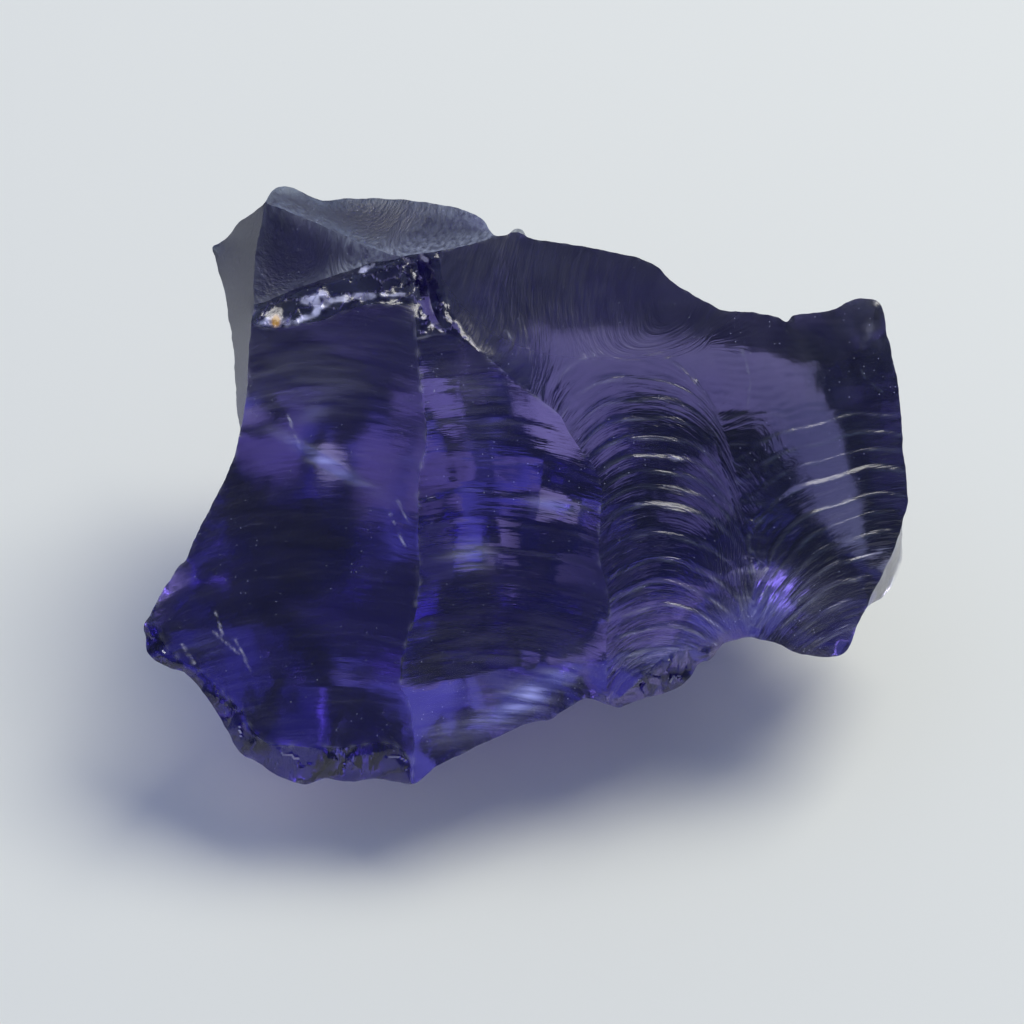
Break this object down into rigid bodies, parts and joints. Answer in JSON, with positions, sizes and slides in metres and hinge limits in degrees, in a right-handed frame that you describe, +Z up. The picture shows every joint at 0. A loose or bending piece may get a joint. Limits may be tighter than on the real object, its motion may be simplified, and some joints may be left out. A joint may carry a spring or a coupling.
{
  "type": "rough amethyst",
  "caption": "Broken piece of clear violet quartz with hollow conchoidal scars, sharp ridges and arc-shaped ripples, resting on a small flat facet.",
  "frame": {"origin": "on the floor plane, under the middle of the stone's box", "axes": "+X along the longest extent, +Z up, broad broken face towards -Y and up"},
  "size_m": [0.0304, 0.0202, 0.0175],
  "materials": {
    "violet_quartz": "glassy broken surface, finely rippled"
  },
  "bodies": {
    "root": {"rough_amethyst": "violet_quartz"}
  },
  "joints": []
}
